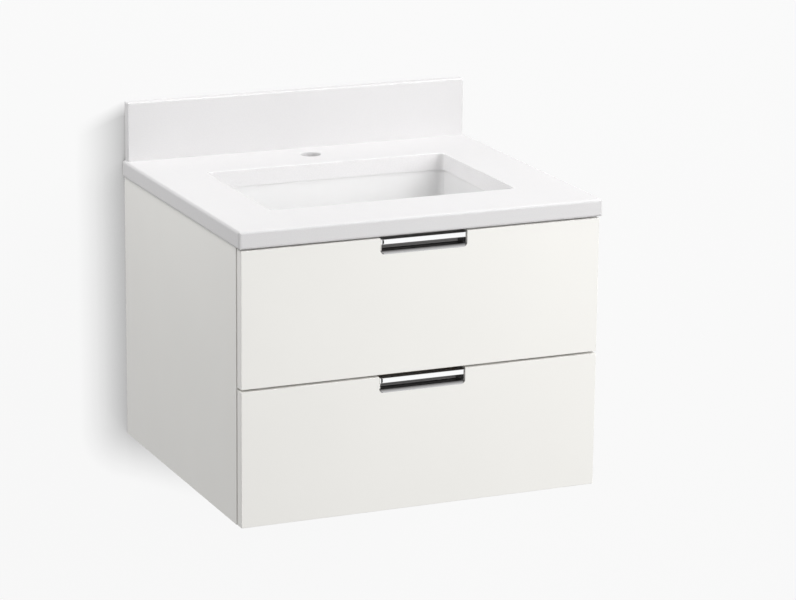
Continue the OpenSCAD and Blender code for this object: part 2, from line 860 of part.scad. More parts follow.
// A back board from x0 to x1 that stands on the floor, with the holes for the runners' hooks
module back_board(x0, x1, box_z, top) {
    difference() {
        block([x0, box_back_y - box_t, box_z + floor_recess + floor_t], [x1, box_back_y, top]);
        both_sides() at_hook_pin(box_z) translate([0, 0, -past])
            cylinder(r = hook_pin_d / 2 + fit, h = hook_pin_len + past + fit);
    }
}

module upper_drawer_back(side) {
    color(birch) on_cabinet() handed(side)
        back_board(trap_outer_x + seat_fit, box_inner_x, upper_box_z,
                   upper_box_z + floor_recess + floor_t + upper_back_rise);
}

module lower_drawer_back() {
    color(birch) on_cabinet() back_board(-box_inner_x, box_inner_x, lower_box_z, lower_box_z + lower_box_h);
}

// Plan of the trap notch, open at the back of the box
module trap_plan(grow, back_y) {
    x = trap_w / 2 + grow;
    y = trap_front_y - grow;
    r = trap_corner_r + grow;
    translate([-x + r, y]) square([2 * (x - r), back_y - y]);
    translate([-x, y + r]) square([2 * x, back_y - y - r]);
    for (cx = [r - x, x - r]) translate([cx, y + r]) circle(r = r);
}

module upper_drawer_bottom() {
    color(birch) on_cabinet() difference() {
        box_floor_block(upper_box_z);
        translate([0, 0, upper_box_z]) linear_extrude(floor_recess + floor_t + past)
            trap_plan(trap_wall + fit, box_back_y + past);
    }
}

module lower_drawer_bottom() {
    color(birch) on_cabinet() box_floor_block(lower_box_z);
}

module upper_drawer_trap_surround() {
    under = upper_box_z + floor_recess;
    above = under + floor_t;
    lip_back_y = box_back_y - box_t - seat_fit;
    color(moulded_grey) on_cabinet() difference() {
        union() {
            translate([0, 0, under]) linear_extrude(floor_t + trap_rise) trap_plan(trap_wall, box_back_y);
            translate([0, 0, above]) linear_extrude(trap_lip_t) trap_plan(trap_wall + trap_lip_w, lip_back_y);
        }
        translate([0, 0, under - past]) linear_extrude(floor_t + trap_rise + 2 * past)
            trap_plan(0, box_back_y + past);
    }
}

// ---------------------------------------------------------------- runners

// Section of one rolled sheet leg on the +X side, from the tip to the plate
module leg_section(row) {
    w0 = row > 0 ? leg_tip_w : -runner_w;
    w1 = row > 0 ? runner_w : -leg_tip_w;
    bulge_r = groove_r + sheet_t;
    difference() {
        union() {
            translate([race_u, w0]) square([sheet_t, w1 - w0]);
            intersection() {
                translate([ball_u, row]) circle(r = bulge_r);
                translate([race_u, row - bulge_r]) square([bulge_r, 2 * bulge_r]);
            }
        }
        translate([ball_u, row]) circle(r = groove_r);
    }
}

module rail_section() {
    flange_u = inner_x - runner_x;
    both_sides() leg_section(-row_w);
    translate([-race_u - sheet_t, -runner_w]) square([race_u + sheet_t + flange_u, sheet_t]);
    translate([flange_u - runner_flange_t, -runner_w]) square([runner_flange_t, runner_flange_h]);
}

module carriage_section() {
    both_sides() leg_section(row_w);
    translate([-race_u - sheet_t, plate_w]) square([2 * (race_u + sheet_t), sheet_t]);
}

module slide_section() {
    difference() {
        square([2 * slide_u, 2 * slide_w], center = true);
        for (u = [-ball_u, ball_u], w = [-row_w, row_w]) translate([u, w]) circle(r = groove_r);
        square([2 * (ball_u - groove_r - sheet_t), 2 * (slide_w - sheet_t)], center = true);
    }
}

module cage_section(level) {
    w = level * (slide_w + cage_play);
    tip = level * (leg_tip_w + cage_play);
    low = min(w + level * cage_t, tip);
    high = max(w + level * cage_t, tip);
    for (u = [-ball_u, ball_u]) translate([u - cage_t / 2, low]) square([cage_t, high - low]);
    translate([-ball_u, min(w, w + level * cage_t)]) square([2 * ball_u, cage_t]);
}

// The children are drawn in the runner's section, and pulled from back_y forwards
module runner_bar(box_z, back_y, len) {
    translate([runner_x, back_y, runner_mid(box_z)]) to_front() linear_extrude(len) children();
}

function runner_mid(box_z) = box_z + floor_recess - runner_w;

module at_runner_screws(box_z) {
    for (y = rail_hole_ys)
        translate([inner_x - runner_flange_t, y, runner_mid(box_z) + rail_hole_w]) to_x() children();
}

module runner_rail(side, box_z) {
    stop_u = slide_u - fit;
    color(zinc) on_cabinet() handed(side) {
        difference() {
            runner_bar(box_z, rail_back_y, runner_len) rail_section();
            at_runner_screws(box_z) screw_hole(runner_screw_len);
        }
        translate([runner_x, rail_back_y, runner_mid(box_z)])
            block([-stop_u, -stop_t, -plate_w - sheet_t / 2], [stop_u, 0, -leg_tip_w]);
    }
}

module runner_slide(side, box_z) {
    color(zinc) on_cabinet() handed(side)
        runner_bar(box_z, rail_back_y - slide_inset, runner_len - 2 * slide_inset) slide_section();
}

// The children are drawn at the hook's pin: +Z forwards into the back board
module at_hook_pin(box_z) {
    translate([runner_x, box_back_y, box_z + floor_recess + floor_t + hook_pin_rise]) to_front() children();
}

module runner_carriage(side, box_z) {
    tab_z = runner_mid(box_z) + plate_w;
    front_y = rail_back_y - runner_len + carriage_inset;
    color(zinc) on_cabinet() handed(side) {
        difference() {
            runner_bar(box_z, box_back_y, box_back_y - front_y) carriage_section();
            clip_window(box_z);
        }
        block([runner_x - hook_w / 2, box_back_y, tab_z],
              [runner_x + hook_w / 2, box_back_y + sheet_t,
               box_z + floor_recess + floor_t + hook_pin_rise + hook_top]);
        block([runner_x - hook_w / 2, box_back_y - past, tab_z],
              [runner_x + hook_w / 2, box_back_y + sheet_t, tab_z + sheet_t]);
        at_hook_pin(box_z) translate([0, 0, -sheet_t / 2])
            cylinder(d = hook_pin_d, h = hook_pin_len + sheet_t / 2);
    }
}

module ball_cage(side, box_z, level) {
    mid = [runner_x, cage_mid_y, runner_mid(box_z) + level * row_w];
    first = -(cage_balls - 1) * ball_pitch / 2;
    color(steel) on_cabinet() handed(side) {
        difference() {
            runner_bar(box_z, cage_mid_y + cage_len / 2, cage_len) cage_section(level);
            for (k = [0:cage_balls - 1]) translate(mid + [-runner_u, first + k * ball_pitch, 0]) to_x()
                cylinder(r = groove_r, h = 2 * runner_u);
        }
        for (k = [0:cage_balls - 1], u = [-ball_u, ball_u])
            translate(mid + [u, first + k * ball_pitch, 0]) sphere(d = ball_d);
    }
}

// ---------------------------------------------------------------- locking clips

module clip_window(box_z) {
    mid_z = runner_mid(box_z) + row_w;
    half_l = lever_hook_w / 2 + clip_window_play;
    block([runner_x - runner_u - past, lever_hook_y - half_l, mid_z - clip_window_h / 2],
          [runner_x - race_u + fit, lever_hook_y + half_l, mid_z + clip_window_h / 2]);
}

module at_clip_pivot(box_z) {
    translate([clip_pivot_x, clip_pivot_y, box_z + floor_recess - clip_plate_t]) children();
}

module at_clip_screws(box_z) {
    for (dy = [0, -clip_screw_span])
        at_clip_pivot(box_z) translate([-clip_housing_x + clip_screw_inset, dy, 0]) children();
}

module clip_housing(box_z) {
    plate_x = runner_x - runner_u - seat_fit - clip_pivot_x;
    pin_len = lever_t + 2 * lever_play;
    at_clip_pivot(box_z) {
        translate([0, 0, -pin_len]) cylinder(d = clip_pin_d, h = pin_len + clip_plate_t);
        translate([0, 0, -pin_len - screw_head_t]) cylinder(d = clip_pin_head_d, h = screw_head_t);
    }
    difference() {
        at_clip_pivot(box_z)
            block([-clip_housing_x, inner_front_y + fit - clip_pivot_y, 0], [plate_x, clip_pin_head_d, clip_plate_t]);
        at_clip_screws(box_z) screw_hole(clip_screw_len);
    }
}

module clip_housings(box_z) {
    color(moulded_grey) on_cabinet() both_sides() clip_housing(box_z);
}

// The lever's frame has its pin at the origin, with the hook on the +X side
module clip_lever(side, box_z) {
    hook_x = runner_x - runner_u + lever_hook_bite - clip_pivot_x;
    hook_y = lever_hook_y - clip_pivot_y;
    pad_y = inner_front_y + 2 * lever_play - clip_pivot_y;
    color(steel) on_cabinet() handed(side) at_clip_pivot(box_z)
        translate([0, 0, -lever_play - lever_t]) difference() {
            union() {
                cylinder(d = lever_arm_w, h = lever_t);
                block([-lever_arm_w / 2, pad_y, 0], [lever_arm_w / 2, 0, lever_t]);
                block([0, hook_y - lever_hook_w / 2, 0], [hook_x, hook_y + lever_hook_w / 2, lever_t]);
                block([-lever_pad_x, pad_y, -lever_pad_t], [lever_arm_w / 2, pad_y + lever_pad_t, lever_t]);
            }
            translate([0, 0, -past]) cylinder(r = clip_pin_d / 2 + screw_fit, h = lever_t + 2 * past);
        }
}

// ---------------------------------------------------------------- screws of the drawers

module drawer_screws(front_z, box_z, box_h) {
    color(steel) on_cabinet() {
        at_front_screws(box_z, box_h) screw(front_screw_len);
        at_pull_screws(front_z) screw(pull_screw_len);
        both_sides() at_clip_screws(box_z) screw(clip_screw_len);
    }
}

// ---------------------------------------------------------------- nodes

side_panel(LEFT);  // left_side_panel
side_panel(RIGHT);  // right_side_panel
bottom_panel();
hanging_rail();
lower_back_rail();
front_top_rail();
vanity_top();
backsplash();
undermount_sink();
sink_seal();
sink_clips();
top_brackets();
cam_fittings();
carcass_screws();
front_bumpers();
runner_rail(LEFT, upper_box_z);  // upper_left_runner_rail
runner_slide(LEFT, upper_box_z);  // upper_left_runner_slide
runner_carriage(LEFT, upper_box_z);  // upper_left_runner_carriage
ball_cage(LEFT, upper_box_z, DOWN);  // upper_left_lower_ball_cage
ball_cage(LEFT, upper_box_z, UP);  // upper_left_upper_ball_cage
runner_rail(RIGHT, upper_box_z);  // upper_right_runner_rail
runner_slide(RIGHT, upper_box_z);  // upper_right_runner_slide
runner_carriage(RIGHT, upper_box_z);  // upper_right_runner_carriage
ball_cage(RIGHT, upper_box_z, DOWN);  // upper_right_lower_ball_cage
ball_cage(RIGHT, upper_box_z, UP);  // upper_right_upper_ball_cage
runner_rail(LEFT, lower_box_z);  // lower_left_runner_rail
runner_slide(LEFT, lower_box_z);  // lower_left_runner_slide
runner_carriage(LEFT, lower_box_z);  // lower_left_runner_carriage
ball_cage(LEFT, lower_box_z, DOWN);  // lower_left_lower_ball_cage
ball_cage(LEFT, lower_box_z, UP);  // lower_left_upper_ball_cage
runner_rail(RIGHT, lower_box_z);  // lower_right_runner_rail
runner_slide(RIGHT, lower_box_z);  // lower_right_runner_slide
runner_carriage(RIGHT, lower_box_z);  // lower_right_runner_carriage
ball_cage(RIGHT, lower_box_z, DOWN);  // lower_right_lower_ball_cage
ball_cage(RIGHT, lower_box_z, UP);  // lower_right_upper_ball_cage
drawer_front(upper_front_z, upper_box_z, upper_box_h);  // upper_drawer_front
drawer_pull(upper_front_z);  // upper_drawer_pull
box_side(LEFT, upper_box_z, upper_box_h);  // upper_drawer_left_side
box_side(RIGHT, upper_box_z, upper_box_h);  // upper_drawer_right_side
inner_front(upper_box_z, upper_box_h);  // upper_drawer_inner_front
upper_drawer_back(LEFT);  // upper_drawer_left_back
upper_drawer_back(RIGHT);  // upper_drawer_right_back
upper_drawer_bottom();
upper_drawer_trap_surround();
drawer_screws(upper_front_z, upper_box_z, upper_box_h);  // upper_drawer_screws
clip_housings(upper_box_z);  // upper_drawer_clip_housings
clip_lever(LEFT, upper_box_z);  // upper_left_clip_lever
clip_lever(RIGHT, upper_box_z);  // upper_right_clip_lever
drawer_front(lower_front_z, lower_box_z, lower_box_h);  // lower_drawer_front
drawer_pull(lower_front_z);  // lower_drawer_pull
box_side(LEFT, lower_box_z, lower_box_h);  // lower_drawer_left_side
box_side(RIGHT, lower_box_z, lower_box_h);  // lower_drawer_right_side
inner_front(lower_box_z, lower_box_h);  // lower_drawer_inner_front
lower_drawer_back();
lower_drawer_bottom();
drawer_screws(lower_front_z, lower_box_z, lower_box_h);  // lower_drawer_screws
clip_housings(lower_box_z);  // lower_drawer_clip_housings
clip_lever(LEFT, lower_box_z);  // lower_left_clip_lever
clip_lever(RIGHT, lower_box_z);  // lower_right_clip_lever
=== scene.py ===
"""Looks of the wall-hung vanity: camera, studio and a procedural finish for every piece, in metres."""
import math

import bpy
from mathutils import Matrix, Vector


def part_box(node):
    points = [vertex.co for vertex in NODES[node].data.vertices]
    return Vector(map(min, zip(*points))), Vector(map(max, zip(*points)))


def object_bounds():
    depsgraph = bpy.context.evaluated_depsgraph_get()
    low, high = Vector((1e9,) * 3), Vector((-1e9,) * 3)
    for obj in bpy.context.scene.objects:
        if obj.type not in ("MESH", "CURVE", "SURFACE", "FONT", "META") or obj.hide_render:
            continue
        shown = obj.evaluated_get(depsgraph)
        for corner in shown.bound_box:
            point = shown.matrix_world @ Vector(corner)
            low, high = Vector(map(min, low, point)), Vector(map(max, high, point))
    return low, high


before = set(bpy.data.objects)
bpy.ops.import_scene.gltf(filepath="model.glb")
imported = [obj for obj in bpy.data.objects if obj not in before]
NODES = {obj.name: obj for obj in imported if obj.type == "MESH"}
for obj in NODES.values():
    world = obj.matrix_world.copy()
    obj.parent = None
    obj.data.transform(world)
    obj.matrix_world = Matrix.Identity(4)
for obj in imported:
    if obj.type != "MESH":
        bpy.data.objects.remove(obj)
CAD_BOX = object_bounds()
MIDDLE = sum(CAD_BOX, Vector()) / 2
X, Y, Z = range(3)

# ---------------------------------------------------------------- camera

PHOTO_W = 796              # pixels
SENSOR_W = 36.0            # millimetres
FOCAL = 3339.56            # pixels
CAMERA_AIM = Vector((0.19811, 0.0, -0.20962))
CAMERA_DISTANCE = 5.96404
CAMERA_RANGE = 100.0       # how far it sees
CAMERA_YAW = math.radians(-23.668)
CAMERA_PITCH = math.radians(14.893)
CAMERA_ROLL = math.radians(0.581)


def make_camera():
    """The photograph's camera: left of the middle, looking down a little, with a long lens."""
    forward = Vector((-math.sin(CAMERA_YAW) * math.cos(CAMERA_PITCH),
                      math.cos(CAMERA_YAW) * math.cos(CAMERA_PITCH),
                      -math.sin(CAMERA_PITCH)))
    right = Vector((math.cos(CAMERA_YAW), math.sin(CAMERA_YAW), 0))
    up = right.cross(forward)
    turn = Matrix.Rotation(-CAMERA_ROLL, 3, forward)
    right, up = turn @ right, turn @ up
    data = bpy.data.cameras.new("camera")
    data.sensor_fit = "HORIZONTAL"
    data.sensor_width = SENSOR_W
    data.lens = FOCAL / PHOTO_W * SENSOR_W
    data.clip_end = CAMERA_RANGE
    camera = bpy.data.objects.new("camera", data)
    bpy.context.scene.collection.objects.link(camera)
    axes = Matrix((right, up, -forward)).transposed().to_4x4()
    camera.matrix_world = Matrix.Translation(CAMERA_AIM - forward * CAMERA_DISTANCE) @ axes
    bpy.context.scene.camera = camera


# ---------------------------------------------------------------- shader nodes

class Graph:
    """The shader nodes of a material or of the world. Patterns are in the row frame's metres."""

    def __init__(self, owner, empty=True):
        owner.use_nodes = True
        self.tree = owner.node_tree
        if empty:
            self.tree.nodes.clear()
        self.known_place = None

    def node(self, kind, **values):
        made = self.tree.nodes.new(kind)
        for name, value in values.items():
            setattr(made, name, value)
        return made

    def link(self, a, b):
        """Links the output a to the input b, or gives the input the plain value a."""
        if isinstance(a, (int, float, tuple)):
            b.default_value = a
        else:
            self.tree.links.new(a, b)

    @property
    def place(self):
        if self.known_place is None:
            self.known_place = self.node("ShaderNodeTexCoord").outputs["Object"]
        return self.known_place

    def parts(self, vector):
        """The X, Y and Z outputs of a vector."""
        made = self.node("ShaderNodeSeparateXYZ")
        self.link(vector, made.inputs[0])
        return made.outputs

    def ramp(self, value, start, end, low=0.0, high=1.0):
        """A value from low to high as the given one goes from start to end, and no further."""
        made = self.node("ShaderNodeMapRange")
        for socket, number in (("From Min", start), ("From Max", end), ("To Min", low), ("To Max", high)):
            made.inputs[socket].default_value = number
        self.link(value, made.inputs["Value"])
        return made.outputs[0]

    def spread(self, value, low, high):
        """Maps 0..1 to low..high."""
        return self.ramp(value, 0.0, 1.0, low, high)

    def math(self, operation, a, b=0.0):
        made = self.node("ShaderNodeMath", operation=operation)
        self.link(a, made.inputs[0])
        self.link(b, made.inputs[1])
        return made.outputs[0]

    def mix_shaders(self, a, b, factor=None):
        """Two shaders mixed by the factor, or added together if there is none."""
        made = self.node("ShaderNodeAddShader" if factor is None else "ShaderNodeMixShader")
        if factor is not None:
            self.link(factor, made.inputs[0])
        self.link(a, made.inputs[-2])
        self.link(b, made.inputs[-1])
        return made.outputs[0]

    def ray_is(self, *kinds):
        """A value of 1 for rays of any of these kinds, such as Is Camera Ray."""
        path = self.node("ShaderNodeLightPath")
        total = path.outputs[kinds[0]]
        for kind in kinds[1:]:
            total = self.math("MAXIMUM", total, path.outputs[kind])
        return total


# ---------------------------------------------------------------- studio

BACKGROUND = 0.947         # what the camera sees round the object
AMBIENT = 0.43             # the studio's even light
REFLECTED_ROOM = 1.0       # the room as polished metal and glaze show it

# The wall and the floor.
STAGE_PAINT = 0.03         # the share of their tone that takes the lamps' own shadows
STAGE_SIZE = 14.0
FLOOR_DROP = 0.5           # the floor below the cabinet
WALL_GAP = 0.001           # the wall behind the cabinet's back

# The soft shadow painted on the wall, to the left of the object.
SHADOW_REACH = 0.085
SHADOW_DEPTH = 0.41        # at least this share of the wall's tone is gone at the object's outline
SHADOW_CURVE = 1.4         # 1 fades evenly, and more fades sooner
SHADOW_SAMPLES = 16
SHADOW_ROUND = 0.02        # the rounding of its lower corner
SHADOW_TILT = 0.4          # how steeply its upper end drops to the left, and its lower end to the right
SHADOW_TOP = 0.026         # the height over which its upper end fades
SHADOW_RIGHT = (0.08, 0.22)  # it ends between these distances to the right of the object's left edge

# The lamps, with their place, side length and watts. All of them aim at the object's middle.
LAMPS = {
    "key": ((1.6, -2.95, 1.2), 1.8, 62),
    "front_low": ((0.3, -3.2, -0.2), 1.8, 10.5),
    "overhead": ((0.75, -0.45, 1.2), 0.8, 8.4),
    "left_back": ((-0.9, -0.15, 1.1), 0.6, 8.3),
}

# The dark card that puts a dark line in the polished pulls.
FLAG_PLACE = (-0.3, -2.5, -0.5)
FLAG_W = 1.7
FLAG_H = 0.8
FLAG_TONE = 0.01


def make_world():
    world = bpy.data.worlds.new("studio")
    bpy.context.scene.world = world
    g = Graph(world)
    even = g.node("ShaderNodeBackground")
    g.link(g.spread(g.ray_is("Is Glossy Ray"), AMBIENT, REFLECTED_ROOM), even.inputs["Strength"])
    seen = g.node("ShaderNodeBackground")
    seen.inputs["Strength"].default_value = BACKGROUND
    for light in (even, seen):
        light.inputs["Color"].default_value = (1, 1, 1, 1)
    shown = g.ray_is("Is Camera Ray", "Is Transmission Ray")
    out = g.node("ShaderNodeOutputWorld")
    g.link(g.mix_shaders(even.outputs[0], seen.outputs[0], shown), out.inputs["Surface"])


def quad(name, centre, across, along):
    """A flat rectangle of the stage, spanned by two half-sides; it faces along their cross product."""
    turns = ((-1, -1), (1, -1), (1, 1), (-1, 1))
    corners = [tuple(centre + u * across + v * along) for u, v in turns]
    mesh = bpy.data.meshes.new(name)
    mesh.from_pydata(corners, [], [(0, 1, 2, 3)])
    obj = bpy.data.objects.new(name, mesh)
    bpy.context.scene.collection.objects.link(obj)
    return obj


def soft_shadow(g):
    """The painted shadow: the share of the stage's tone that is missing, near the object and round the left
    side of its box.
    """
    open_sky = g.node("ShaderNodeAmbientOcclusion", samples=SHADOW_SAMPLES)
    open_sky.inputs["Distance"].default_value = SHADOW_REACH
    low, high = CAD_BOX
    core = low + Vector((SHADOW_ROUND, 0, SHADOW_ROUND))
    x, _, z = g.parts(g.place)
    z_at_top = g.math("ADD", z, g.ramp(x, low.x, low.x - 1, 0, SHADOW_TILT))
    z_at_foot = g.math("ADD", z, g.ramp(x, low.x, low.x + 1, 0, SHADOW_TILT))
    away = g.node("ShaderNodeCombineXYZ")
    g.link(g.ramp(x, core.x, core.x - 1), away.inputs["X"])
    g.link(g.ramp(z_at_foot, core.z, core.z - 1), away.inputs["Z"])
    distance = g.node("ShaderNodeVectorMath", operation="LENGTH")
    g.link(away.outputs[0], distance.inputs[0])
    near = g.ramp(distance.outputs["Value"], SHADOW_ROUND + SHADOW_REACH, SHADOW_ROUND)
    # painted shadow, drawn round the left side of the object's box
    painted_outline_shadow = g.spread(g.math("POWER", near, SHADOW_CURVE), 1.0, 1.0 - SHADOW_DEPTH)
    shadow = g.math("SUBTRACT", 1.0, g.math("MINIMUM", open_sky.outputs["AO"], painted_outline_shadow))
    start, end = SHADOW_RIGHT
    shadow = g.math("MULTIPLY", shadow, g.ramp(x, low.x + end, low.x + start))
    return g.math("MULTIPLY", shadow, g.ramp(z_at_top, high.z, high.z - SHADOW_TOP))


def pale_stage_material(name):
    """Pale paint that glows, with the object's soft shadow painted into the glow, seen from its front only.
    """
    material = bpy.data.materials.new(name)
    g = Graph(material)
    paint = g.node("ShaderNodeBsdfDiffuse")
    paint.inputs["Color"].default_value = (STAGE_PAINT, STAGE_PAINT, STAGE_PAINT, 1)
    glow = g.node("ShaderNodeEmission")
    g.link(g.spread(soft_shadow(g), BACKGROUND - STAGE_PAINT, 0.0), glow.inputs["Strength"])
    both = g.mix_shaders(paint.outputs[0], glow.outputs[0])
    clear = g.node("ShaderNodeBsdfTransparent")
    behind = g.node("ShaderNodeNewGeometry").outputs["Backfacing"]
    out = g.node("ShaderNodeOutputMaterial")
    g.link(g.mix_shaders(both, clear.outputs[0], behind), out.inputs["Surface"])
    return material


def make_stage():
    low, high = CAD_BOX
    paint = pale_stage_material("stage_paint")
    half = STAGE_SIZE / 2
    seam = Vector((0, high.y + WALL_GAP, low.z - FLOOR_DROP))
    right, back, up = (half * axis for axis in Matrix.Identity(3))
    for obj in (quad("wall", seam + up, right, up), quad("floor", seam - back, right, back)):
        obj.data.materials.append(paint)
        obj.visible_diffuse = False
        obj.visible_glossy = False
        obj.visible_shadow = False


def make_flag():
    """The dark card, which faces the object and shows only in reflections."""
    place = Vector(FLAG_PLACE)
    toward = (MIDDLE - place).normalized()
    across = toward.cross(Vector((0, 0, 1))).normalized()
    card = quad("flag", place, across * FLAG_W / 2, toward.cross(across) * FLAG_H / 2)
    material = bpy.data.materials.new("flag")
    g = Graph(material)
    dark = g.node("ShaderNodeEmission")
    dark.inputs["Strength"].default_value = FLAG_TONE
    g.link(dark.outputs[0], g.node("ShaderNodeOutputMaterial").inputs["Surface"])
    card.data.materials.append(material)
    card.visible_camera = False
    card.visible_diffuse = False
    card.visible_transmission = False
    card.visible_shadow = False


def make_lamp(name, place, size, power):
    data = bpy.data.lights.new(name, "AREA")
    data.shape = "SQUARE"
    data.size = size
    data.energy = power
    lamp = bpy.data.objects.new(name, data)
    bpy.context.scene.collection.objects.link(lamp)
    lamp.location = place
    lamp.rotation_mode = "QUATERNION"
    lamp.rotation_quaternion = (MIDDLE - lamp.location).to_track_quat("-Z", "Y")
    lamp.visible_glossy = False


# ---------------------------------------------------------------- materials

class Finish(Graph):
    """A Principled material under construction. Patterns take the place of its plain colour or roughness."""

    def __init__(self, name, colour, roughness, metallic=0.0, **sockets):
        self.material = bpy.data.materials.new(name)
        super().__init__(self.material, empty=False)
        self.shader = self.tree.nodes["Principled BSDF"]
        self.base = colour
        self.shader.inputs["Base Color"].default_value = (*colour, 1)
        self.shader.inputs["Roughness"].default_value = roughness
        self.shader.inputs["Metallic"].default_value = metallic
        for socket, value in sockets.items():
            self.shader.inputs[socket.replace("_", " ")].default_value = value
        self.normal = None

    def stretched(self, scale):
        """The place, stretched along each axis, for grain."""
        mapping = self.node("ShaderNodeMapping")
        mapping.inputs["Scale"].default_value = scale
        self.link(self.place, mapping.inputs["Vector"])
        return mapping.outputs[0]

    def true_normal(self):
        return self.node("ShaderNodeNewGeometry").outputs["True Normal"]

    def noise(self, scale, detail=2.0, place=None, distortion=0.0):
        made = self.node("ShaderNodeTexNoise")
        made.inputs["Scale"].default_value = scale
        made.inputs["Detail"].default_value = detail
        made.inputs["Distortion"].default_value = distortion
        self.link(place or self.place, made.inputs["Vector"])
        return made.outputs["Fac"]

    def within(self, axes, low, high, margin):
        """A value of 1 between low and high along these axes, down to 0 at the margin outside them."""
        parts = self.parts(self.place)
        inside = 1.0
        for axis in axes:
            for edge, outward in ((low[axis], -margin), (high[axis], margin)):
                inside = self.math("MULTIPLY", inside, self.ramp(parts[axis], edge + outward, edge))
        return inside

    def between(self, pattern, colour_a, colour_b, low=0.3, high=0.7):
        """A colour from colour_a to colour_b as the pattern goes from low to high."""
        ramp = self.node("ShaderNodeValToRGB")
        for element, place, colour in zip(ramp.color_ramp.elements, (low, high), (colour_a, colour_b)):
            element.position = place
            element.color = (*colour, 1)
        self.link(pattern, ramp.inputs["Fac"])
        return ramp.outputs["Color"]

    def tinted(self, pattern, darkest, lightest, low=0.3, high=0.7):
        """The plain colour, times darkest to lightest as the pattern goes from low to high."""
        return self.between(pattern, shade(self.base, darkest), shade(self.base, lightest), low, high)

    def mix_colours(self, a, b, factor=1.0, how="MIX"):
        """Two colours mixed by the factor, or multiplied."""
        made = self.node("ShaderNodeMix", data_type="RGBA", blend_type=how)
        self.link(factor, made.inputs["Factor"])
        self.link(a, made.inputs["A"])
        self.link(b, made.inputs["B"])
        return made.outputs["Result"]

    def colour(self, output):
        self.link(output, self.shader.inputs["Base Color"])

    def roughness(self, output):
        self.link(output, self.shader.inputs["Roughness"])

    def bump(self, height, strength, distance):
        """Adds a bump to those before it."""
        made = self.node("ShaderNodeBump")
        made.inputs["Strength"].default_value = strength
        made.inputs["Distance"].default_value = distance
        self.link(height, made.inputs["Height"])
        if self.normal is not None:
            self.link(self.normal, made.inputs["Normal"])
        self.normal = made.outputs[0]
        self.link(self.normal, self.shader.inputs["Normal"])


def shade(colour, factor):
    return tuple(c * factor for c in colour)


def lacquer():
    """Satin sprayed lacquer: a faint orange peel, and a slightly uneven sheen."""
    f = Finish("lacquer", (0.855, 0.845, 0.813), 0.38, Specular_IOR_Level=0.4)
    f.colour(f.tinted(f.noise(scale=5.0, detail=3), 0.992, 1.008))
    f.roughness(f.spread(f.noise(scale=30.0, detail=3), 0.34, 0.42))
    f.bump(f.noise(scale=420.0, detail=1), strength=0.05, distance=0.0002)
    return f.material


def foil_board():
    """Plain foil on the hidden back rails, with a fine printed grain."""
    f = Finish("foil_board", (0.80, 0.79, 0.765), 0.5)
    grain = f.noise(scale=18.0, detail=4, place=f.stretched((1, 14, 14)))
    f.colour(f.tinted(grain, 0.975, 1.0))
    f.bump(grain, strength=0.05, distance=0.0002)
    return f.material


CUTOUT_W = 0.433           # the top's cut-out for the sink
CUTOUT_D = 0.293
CUTOUT_BACK = 0.141        # from the wall
ARRIS = 0.0015             # the cut-out's rounded upper edge
# Painted bounce light: the cut-out's walls are painted lighter than the honed faces, and its right wall
# more.
HONED_SHARE_OF_LIT_CUTOUT = 0.89               # the honed faces' tone, as a share of the cut-out's walls, which are polished and painted lighter
HONED_ROUGHNESS = 0.3      # what honing adds
RIGHT_WALL_PAINTED_LIGHT = 0.13     # the cut-out's right wall is lighter by this share, as the photo shows it


def stone():
    """Honed white engineered stone: fine grains under faint clouds. The cut-out has a polish, and is painted
    lighter as painted bounce light.
    """
    f = Finish("stone", (0.79, 0.782, 0.786), 0.5, Specular_IOR_Level=0.25)
    high = Vector((CUTOUT_W / 2, CAD_BOX[1].y - CUTOUT_BACK, 0))
    low = high - Vector((CUTOUT_W, CUTOUT_D, 0))
    polished_and_lit = f.within((X, Y), low, high, ARRIS)
    grains = f.tinted(f.noise(scale=700.0, detail=2), 0.975, 1.015, low=0.42, high=0.62)
    clouds = f.between(f.noise(scale=7.0, detail=4, distortion=0.4), (0.985, 0.985, 0.985), (1, 1, 1))
    # painted bounce light on the cut-out's walls, most on the right one
    right_wall_light = f.ramp(f.parts(f.place)[X], high.x - ARRIS, high.x, 0, RIGHT_WALL_PAINTED_LIGHT)
    tone = f.math("ADD", f.spread(polished_and_lit, HONED_SHARE_OF_LIT_CUTOUT, 1.0), f.math("MULTIPLY", polished_and_lit, right_wall_light))
    clouded = f.mix_colours(grains, clouds, how="MULTIPLY")
    f.colour(f.mix_colours(clouded, tone, how="MULTIPLY"))
    sheen = f.spread(f.noise(scale=55.0, detail=3), 0.16, 0.26)
    f.roughness(f.math("ADD", sheen, f.spread(polished_and_lit, HONED_ROUGHNESS, 0.0)))
    f.bump(f.noise(scale=900.0, detail=1), strength=0.03, distance=0.0001)
    return f.material


def glaze():
    """Vitreous glaze: glossy, with the slight waves of a fired surface."""
    f = Finish("glaze", (0.825, 0.823, 0.823), 0.08, Specular_IOR_Level=0.35,
               Coat_Weight=0.3, Coat_Roughness=0.04)
    f.colour(f.tinted(f.noise(scale=9.0, detail=2), 0.99, 1.0))
    f.roughness(f.spread(f.noise(scale=40.0, detail=2), 0.06, 0.12))
    f.bump(f.noise(scale=26.0, detail=1), strength=0.06, distance=0.0004)
    return f.material


CHROME = (0.965, 0.97, 0.975)
# painted shade: the dark grey painted into the finger recess, on faces that look up and over the sill
SHADED_DULL_PLATE = (0.20, 0.195, 0.195)
RECESS_START = 0.0045      # behind the pull's face
RECESS_BLEND = 0.0015
END_SKIN = 0.0005          # the pull's ends stay bright, without the painted shade
SILL_TOP_DROP = 0.0185     # the pull's top down to the top and to the foot of its sill
SILL_FOOT_DROP = 0.0245
SILL_DULLNESS_AND_SHADE = (0.35, 1.2)  # at the sill's foot and at its top
BAR_MARGIN = 0.001         # the dullness and painted shade end this far above the sill, so that the bar stays bright
SHELF_TILT = (0.5, 0.95)   # the upward part of the normal, from walls to faces that look up


